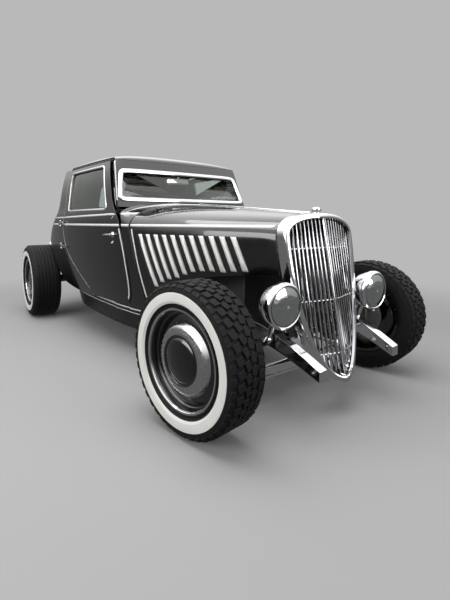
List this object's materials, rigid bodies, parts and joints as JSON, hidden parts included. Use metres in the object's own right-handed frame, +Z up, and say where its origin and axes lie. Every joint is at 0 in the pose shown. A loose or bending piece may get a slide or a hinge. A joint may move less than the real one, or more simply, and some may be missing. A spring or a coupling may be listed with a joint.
{
  "type": "hot rod coupe",
  "caption": "Full-size fenderless chopped coupe hot rod with opening doors, hood halves and deck lid, steered front wheels and turning wheels.",
  "frame": {"origin": "on the ground, at the bottom centre of the whole car's box, halfway between the axles", "axes": "+X forward along the car's length, +Y to the car's left, +Z up"},
  "size_m": [3.685, 1.794, 1.492],
  "materials": {
    "chassis_paint": "satin black enamel",
    "chrome": "polished",
    "glass": "clear",
    "iron": "painted block",
    "leather": "pleated off-white vinyl",
    "paint": "gloss black enamel",
    "plastic": "moulded rim",
    "steel": "satin",
    "tyre": "moulded tread, white sidewall"
  },
  "bodies": {
    "chassis": {"frame_rail_left": "chassis_paint", "frame_rail_right": "chassis_paint", "frame_crossmembers": "chassis_paint", "front_axle": "chassis_paint", "front_spring": "chassis_paint", "radius_rods": "chassis_paint", "rear_axle": "chassis_paint", "rear_spring": "chassis_paint", "engine_block": "iron", "exhaust_pipes": "steel", "fuel_tank": "chassis_paint", "floor_pan": "chassis_paint", "cowl": "paint", "quarter_left": "paint", "quarter_right": "paint", "roof": "paint", "window_panel": "paint", "tail_panel": "paint", "hinge_pins": "chrome", "grille_shell": "chrome", "grille_bars": "chrome", "radiator": "chassis_paint", "headlight_left": "chrome", "headlight_right": "chrome", "windshield_frame": "paint", "windshield_glass": "glass", "rear_glass": "glass", "seat": "leather", "dashboard": "paint", "steering_wheel": "plastic"},
    "steer_left_body": {"knuckle_left": "chassis_paint"},
    "steer_right_body": {"knuckle_right": "chassis_paint"},
    "tie_rod_body": {"tie_rod": "chrome"},
    "front_left_wheel": {"tyre_front_left": "tyre", "wheel_front_left": "paint", "hubcap_front_left": "chrome"},
    "front_right_wheel": {"tyre_front_right": "tyre", "wheel_front_right": "paint", "hubcap_front_right": "chrome"},
    "rear_left_wheel": {"tyre_rear_left": "tyre", "wheel_rear_left": "paint", "hubcap_rear_left": "chrome"},
    "rear_right_wheel": {"tyre_rear_right": "tyre", "wheel_rear_right": "paint", "hubcap_rear_right": "chrome"},
    "door_left_body": {"door_left": "paint", "door_glass_left": "glass", "door_hinges_left": "chrome"},
    "door_right_body": {"door_right": "paint", "door_glass_right": "glass", "door_hinges_right": "chrome"},
    "deck_lid_body": {"deck_lid": "paint", "lid_hinges": "chrome"},
    "hood_left_body": {"hood_left": "paint"},
    "hood_right_body": {"hood_right": "paint"}
  },
  "joints": [
    {"name": "steer_left", "type": "hinge", "parent": "chassis", "child": "steer_left_body", "pos_m": [1.4225, 0.572, 0.348], "axis": [0, 0, 1], "range_deg": [-34, 16]},
    {"name": "steer_right", "type": "hinge", "parent": "chassis", "child": "steer_right_body", "pos_m": [1.4225, -0.572, 0.348], "axis": [0, 0, 1], "range_deg": [-34, 16]},
    {"name": "tie_rod_turn", "type": "hinge", "parent": "steer_left_body", "child": "tie_rod_body", "pos_m": [1.25953, 0.54619, 0.242], "axis": [0, 0, 1], "range_deg": [-16, 34]},
    {"name": "spin_front_left", "type": "hinge", "parent": "steer_left_body", "child": "front_left_wheel", "pos_m": [1.40381, 0.69003, 0.348], "axis": [-0.1564, 0.9877, 0], "continuous": true},
    {"name": "spin_front_right", "type": "hinge", "parent": "steer_right_body", "child": "front_right_wheel", "pos_m": [1.44119, -0.69003, 0.348], "axis": [-0.1564, 0.9877, 0], "continuous": true},
    {"name": "spin_rear_left", "type": "hinge", "parent": "chassis", "child": "rear_left_wheel", "pos_m": [-1.4225, 0.769, 0.358], "axis": [0, 1, 0], "continuous": true},
    {"name": "spin_rear_right", "type": "hinge", "parent": "chassis", "child": "rear_right_wheel", "pos_m": [-1.4225, -0.769, 0.358], "axis": [0, 1, 0], "continuous": true},
    {"name": "door_left_swing", "type": "hinge", "parent": "chassis", "child": "door_left_body", "pos_m": [-0.7475, 0.71649, 0.7], "axis": [0, 0, 1], "range_deg": [0, 62]},
    {"name": "door_right_swing", "type": "hinge", "parent": "chassis", "child": "door_right_body", "pos_m": [-0.7475, -0.71649, 0.7], "axis": [0, 0, -1], "range_deg": [0, 62]},
    {"name": "deck_lid_lift", "type": "hinge", "parent": "chassis", "child": "deck_lid_body", "pos_m": [-1.3255, 0, 1.034], "axis": [0, 1, 0], "range_deg": [0, 48]},
    {"name": "hood_left_lift", "type": "hinge", "parent": "chassis", "child": "hood_left_body", "pos_m": [0.4225, 0, 1.087], "axis": [0.9969, 0, -0.0781], "range_deg": [0, 50]},
    {"name": "hood_right_lift", "type": "hinge", "parent": "chassis", "child": "hood_right_body", "pos_m": [0.4225, 0, 1.087], "axis": [-0.9969, 0, 0.0781], "range_deg": [0, 50]}
  ],
  "couplings": [
    {"joint": "steer_right", "follows": "steer_left", "ratio": 1},
    {"joint": "tie_rod_turn", "follows": "steer_left", "ratio": -1}
  ]
}
